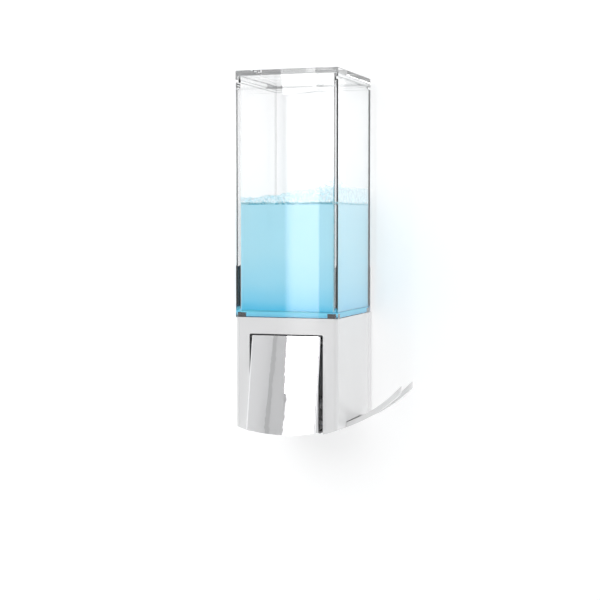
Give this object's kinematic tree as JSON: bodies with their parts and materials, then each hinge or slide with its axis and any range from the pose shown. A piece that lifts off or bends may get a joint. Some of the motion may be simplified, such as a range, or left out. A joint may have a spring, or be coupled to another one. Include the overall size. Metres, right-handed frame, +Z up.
{
  "type": "wall mounted soap dispenser",
  "caption": "Rectangular wall dispenser with a clear soap chamber, loose lid, white casing, chrome push lever and a curved two-pronged side arm.",
  "frame": {"origin": "on the wall plate's back face, midway between the two wall screw holes and level with the seat of the soap chamber", "axes": "+Z up, +Y into the wall, +X to the right as seen from the front, so the front faces -Y"},
  "size_m": [0.1079, 0.0945, 0.2448],
  "materials": {
    "white_gloss": "smooth gloss moulding",
    "white_plastic": "satin moulding",
    "natural_plastic": "undyed moulding",
    "chrome": "polished plating",
    "steel": "bright stainless",
    "seal_rubber": "smooth",
    "black_rubber": "smooth",
    "dark_foam": "fine closed-cell foam",
    "silicone": "translucent white",
    "clear_plastic": "clear polished acrylic"
  },
  "bodies": {
    "wall": {"wall_plate": "white_plastic", "tongue_pad": "dark_foam"},
    "housing": {"casing": "white_gloss", "back_cover": "white_plastic", "back_screws": "steel", "lever_pin": "steel", "pump_body": "natural_plastic", "pump_screws": "steel", "pump_cap": "natural_plastic", "piston_spring": "steel", "inlet_seat": "natural_plastic", "outlet_valve": "silicone", "nozzle": "white_plastic"},
    "lever": {"lever_cover": "chrome", "lever_frame": "white_plastic"},
    "plunger": {"piston": "white_plastic", "piston_seal": "seal_rubber"},
    "ball": {"inlet_ball": "steel"},
    "tank": {"chamber": "clear_plastic", "chamber_pads": "black_rubber", "chamber_outlet": "white_plastic", "outlet_gasket": "silicone", "outlet_nut": "white_plastic", "spout_oring": "seal_rubber"},
    "top": {"lid": "clear_plastic"},
    "arm": {"hook_arm": "white_gloss"}
  },
  "joints": [
    {"name": "body_lift", "type": "slide", "parent": "wall", "child": "housing", "axis": [0, 0, 1], "range_m": [0, 0.0064]},
    {"name": "lever_press", "type": "hinge", "parent": "housing", "child": "lever", "pos_m": [0, -0.076, -0.016], "axis": [1, 0, 0], "range_deg": [0, 10.5], "stiffness_Nm_per_rad": 1, "springref_deg": -17.19},
    {"name": "piston_slide", "type": "slide", "parent": "housing", "child": "plunger", "axis": [0, 1, 0], "range_m": [0, 0.0054], "deforming": ["piston_spring"]},
    {"name": "ball_lift", "type": "slide", "parent": "housing", "child": "ball", "axis": [0, 0, 1], "range_m": [0, 0.0017]},
    {"name": "tank_lift", "type": "slide", "parent": "housing", "child": "tank", "axis": [0, 0, 1], "range_m": [0, 0.03]},
    {"name": "lid_lift", "type": "slide", "parent": "tank", "child": "top", "axis": [0, 0, 1], "range_m": [0, 0.03]},
    {"name": "arm_slide_out", "type": "hinge", "parent": "housing", "child": "arm", "pos_m": [0, -0.0433, 0.0211], "axis": [0, -1, 0], "range_deg": [0, 8]}
  ],
  "couplings": [
    {"joint": "piston_slide", "follows": "lever_press", "m_per_rad": 0.02908}
  ]
}
